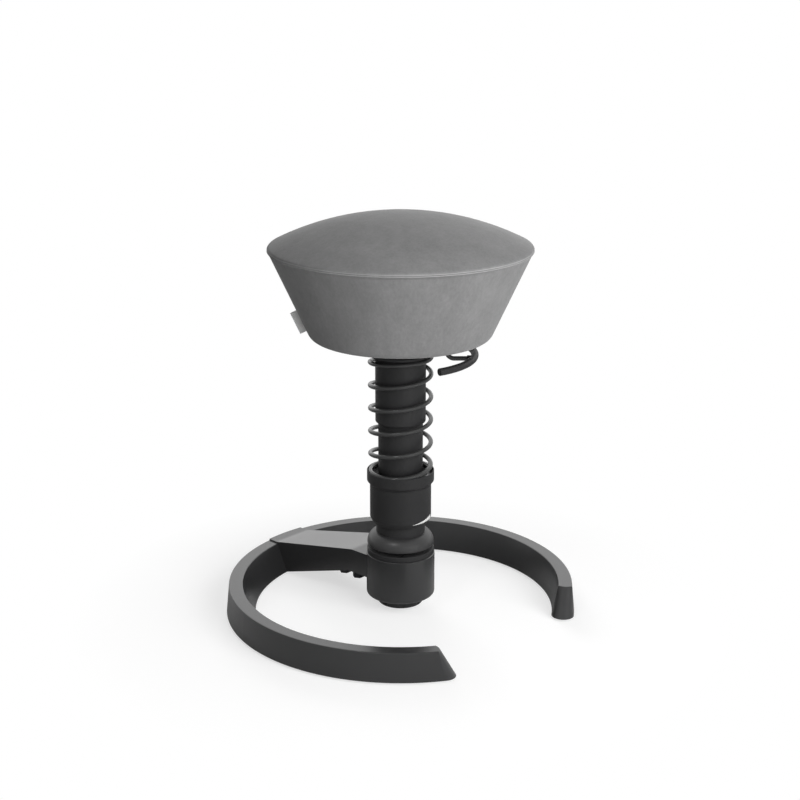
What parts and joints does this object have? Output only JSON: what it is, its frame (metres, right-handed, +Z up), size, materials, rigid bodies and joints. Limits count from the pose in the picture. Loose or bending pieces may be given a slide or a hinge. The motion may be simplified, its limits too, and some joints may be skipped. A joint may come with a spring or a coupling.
{
  "type": "wobble stool",
  "caption": "Wobble stool: open floor ring with one cast arm, a leaning column with an open coil spring, and a hollow cone-shaped upholstered seat with a height lever.",
  "frame": {"origin": "middle of the footprint box on the floor; the column axis stands 20.8 mm towards -Y of it", "axes": "+Z up along the upright column, -Y towards the gap in the floor ring, +Y towards the arm"},
  "size_m": [0.5564, 0.5147, 0.637],
  "materials": {
    "cast_black": "black fine-texture powder coat on cast metal",
    "black_plastic": "satin moulded black",
    "black_rubber": "smooth dull rubber",
    "black_tube": "black powder coat",
    "spring_black": "black satin coat",
    "dark_steel": "black oxide",
    "bright_steel": "turned",
    "glide_grey": "clear grey nylon",
    "shell_black": "moulded black",
    "grey_fabric": "short-pile microfibre",
    "tag_white": "woven ribbon"
  },
  "bodies": {
    "base": {"base_ring": "cast_black", "hub_arm": "cast_black", "arm_screws": "dark_steel", "rib_bolts": "dark_steel", "glides": "glide_grey", "race_retainer": "black_plastic", "retainer_screws": "dark_steel", "pressure_cup": "bright_steel"},
    "knob": {"flex_knob": "black_plastic", "flex_spindle": "bright_steel"},
    "race": {"rubber_race": "black_rubber"},
    "column": {"joint_ball": "bright_steel", "column_foot": "black_plastic", "stud_nut": "bright_steel", "cuff": "black_rubber", "guide_tube": "black_tube", "guide_bush": "black_plastic", "bump_stop": "black_rubber", "spring_washer": "bright_steel", "coil_spring": "spring_black"},
    "cup": {"adjuster_cup": "black_plastic"},
    "sleeve": {"cover_sleeve": "black_tube", "spring_flange": "black_plastic", "stand_tube": "bright_steel", "guide_ring": "black_plastic", "rebound_stop": "black_plastic", "cylinder_bush": "black_plastic", "bearing_race": "bright_steel"},
    "rod": {"piston_rod": "bright_steel", "rod_clip": "bright_steel", "bearing_cage": "bright_steel"},
    "seat": {"gas_cylinder": "black_tube", "seat_pan": "dark_steel", "pan_screws": "bright_steel", "lever_pin": "bright_steel", "seat_shell": "shell_black", "seat_deck": "shell_black", "side_pad": "grey_fabric", "top_cushion": "grey_fabric", "seat_tag": "tag_white"},
    "lever": {"lever_rod": "spring_black", "lever_grip": "black_plastic"},
    "button": {"release_button": "bright_steel"}
  },
  "joints": [
    {"name": "lean_front_back", "type": "hinge", "parent": "base", "child": "race", "pos_m": [0, -0.02082, 0.068], "axis": [1, 0, 0], "range_deg": [-4.5, 4.5], "stiffness_Nm_per_rad": 320},
    {"name": "lean_sideways", "type": "hinge", "parent": "race", "child": "column", "pos_m": [0, -0.02082, 0.068], "axis": [0, 1, 0], "range_deg": [-4.5, 4.5], "stiffness_Nm_per_rad": 320},
    {"name": "bounce", "type": "slide", "parent": "column", "child": "sleeve", "axis": [0, 0, 1], "range_m": [-0.06, 0], "stiffness_N_per_m": 9000, "springref_m": 0.012, "deforming": ["coil_spring"]},
    {"name": "seat_swivel", "type": "hinge", "parent": "sleeve", "child": "rod", "pos_m": [0, -0.02082, 0.21], "axis": [0, 0, 1], "continuous": true},
    {"name": "seat_height", "type": "slide", "parent": "rod", "child": "seat", "axis": [0, 0, 1], "range_m": [-0.125, 0]},
    {"name": "lever_pull", "type": "hinge", "parent": "seat", "child": "lever", "pos_m": [0.01627, -0.06278, 0.581], "axis": [-0.9323, -0.3616, 0], "range_deg": [0, 5], "stiffness_Nm_per_rad": 12, "springref_deg": -6.88},
    {"name": "button_press", "type": "slide", "parent": "seat", "child": "button", "axis": [0, 0, -1], "range_m": [0, 0.004], "stiffness_N_per_m": 2000, "springref_m": -0.002},
    {"name": "spring_adjust", "type": "hinge", "parent": "column", "child": "cup", "pos_m": [0, -0.02082, 0.19], "axis": [0, 0, 1], "range_deg": [-135, 135]},
    {"name": "flex_adjust", "type": "hinge", "parent": "base", "child": "knob", "pos_m": [0, -0.02082, 0.017], "axis": [0, 0, 1], "range_deg": [-180, 180]}
  ],
  "couplings": [
    {"joint": "button_press", "follows": "lever_pull", "m_per_rad": 0.045}
  ]
}
